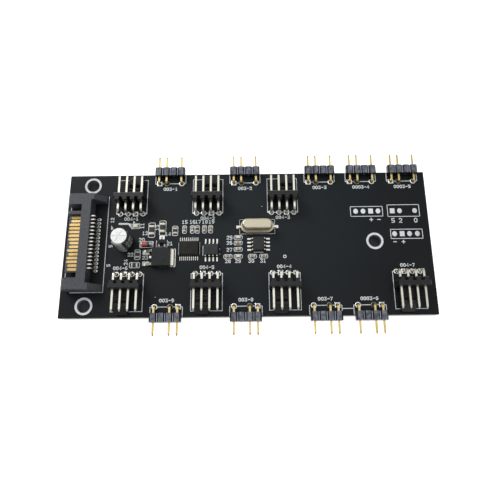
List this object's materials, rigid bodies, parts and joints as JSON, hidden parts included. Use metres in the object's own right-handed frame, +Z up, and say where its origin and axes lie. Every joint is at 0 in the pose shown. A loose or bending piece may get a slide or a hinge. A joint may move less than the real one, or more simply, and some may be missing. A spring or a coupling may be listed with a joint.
{
  "type": "fan and light controller board",
  "caption": "Flat black circuit board hub with a power plug at its left end, keyed fan headers and light strip headers along both long edges.",
  "frame": {"origin": "middle of the board in X and Y, at the level of the tips of the soldered tails that it rests on", "axes": "+X along the board away from the power plug, +Y to the long edge with five light headers, +Z up from the component side"},
  "size_m": [0.122, 0.0616, 0.0111],
  "materials": {
    "solder_mask": "satin black solder mask over glass-fibre board",
    "plug_plastic": "moulded, fine matt",
    "contact_gold": "gold flash on copper alloy",
    "header_plastic": "moulded, satin",
    "pin_tin": "bright tin plate",
    "strip_plastic": "moulded, satin",
    "pin_gold": "gold flash",
    "can_aluminium": "bright drawn",
    "sleeve_film": "shrunk film",
    "bung_rubber": "moulded",
    "lead_tin": "tin plate",
    "crystal_nickel": "drawn, nickel plate",
    "chip_epoxy": "moulded, matt",
    "diode_glass": "red glass",
    "lamp_ceramic": "fired",
    "lamp_lens": "clear resin",
    "resistor_ceramic": "glazed film",
    "capacitor_ceramic": "fired",
    "inductor_ceramic": "fired"
  },
  "bodies": {
    "root": {"circuit_board": "solder_mask", "power_plug_housing": "plug_plastic", "power_plug_contacts": "contact_gold", "fan_header_1_housing": "header_plastic", "fan_header_2_housing": "header_plastic", "fan_header_3_housing": "header_plastic", "fan_header_4_housing": "header_plastic", "fan_header_5_housing": "header_plastic", "fan_header_6_housing": "header_plastic", "fan_header_7_housing": "header_plastic", "fan_header_1_pins": "pin_tin", "fan_header_2_pins": "pin_tin", "fan_header_3_pins": "pin_tin", "fan_header_4_pins": "pin_tin", "fan_header_5_pins": "pin_tin", "fan_header_6_pins": "pin_tin", "fan_header_7_pins": "pin_tin", "light_header_1_housing": "strip_plastic", "light_header_2_housing": "strip_plastic", "light_header_3_housing": "strip_plastic", "light_header_4_housing": "strip_plastic", "light_header_5_housing": "strip_plastic", "light_header_6_housing": "strip_plastic", "light_header_7_housing": "strip_plastic", "light_header_8_housing": "strip_plastic", "light_header_9_housing": "strip_plastic", "light_header_1_pins": "pin_gold", "light_header_2_pins": "pin_gold", "light_header_3_pins": "pin_gold", "light_header_4_pins": "pin_gold", "light_header_5_pins": "pin_gold", "light_header_6_pins": "pin_gold", "light_header_7_pins": "pin_gold", "light_header_8_pins": "pin_gold", "light_header_9_pins": "pin_gold", "capacitor_can": "can_aluminium", "capacitor_sleeve": "sleeve_film", "capacitor_bung": "bung_rubber", "capacitor_leads": "lead_tin", "crystal_can": "crystal_nickel", "crystal_base": "chip_epoxy", "crystal_leads": "lead_tin", "microcontroller_body": "chip_epoxy", "microcontroller_leads": "lead_tin", "driver_chip_body": "chip_epoxy", "driver_chip_leads": "lead_tin", "receiver_chip_body": "chip_epoxy", "receiver_chip_leads": "lead_tin", "regulator_body": "chip_epoxy", "regulator_lead_frame": "lead_tin", "transistor_body": "chip_epoxy", "transistor_leads": "lead_tin", "diode_glass": "diode_glass", "diode_end_caps": "lead_tin", "status_light_base": "lamp_ceramic", "status_light_lens": "lamp_lens", "chip_resistor_bodies": "resistor_ceramic", "chip_capacitor_bodies": "capacitor_ceramic", "chip_inductor_bodies": "inductor_ceramic", "chip_end_caps": "lead_tin"}
  },
  "joints": []
}
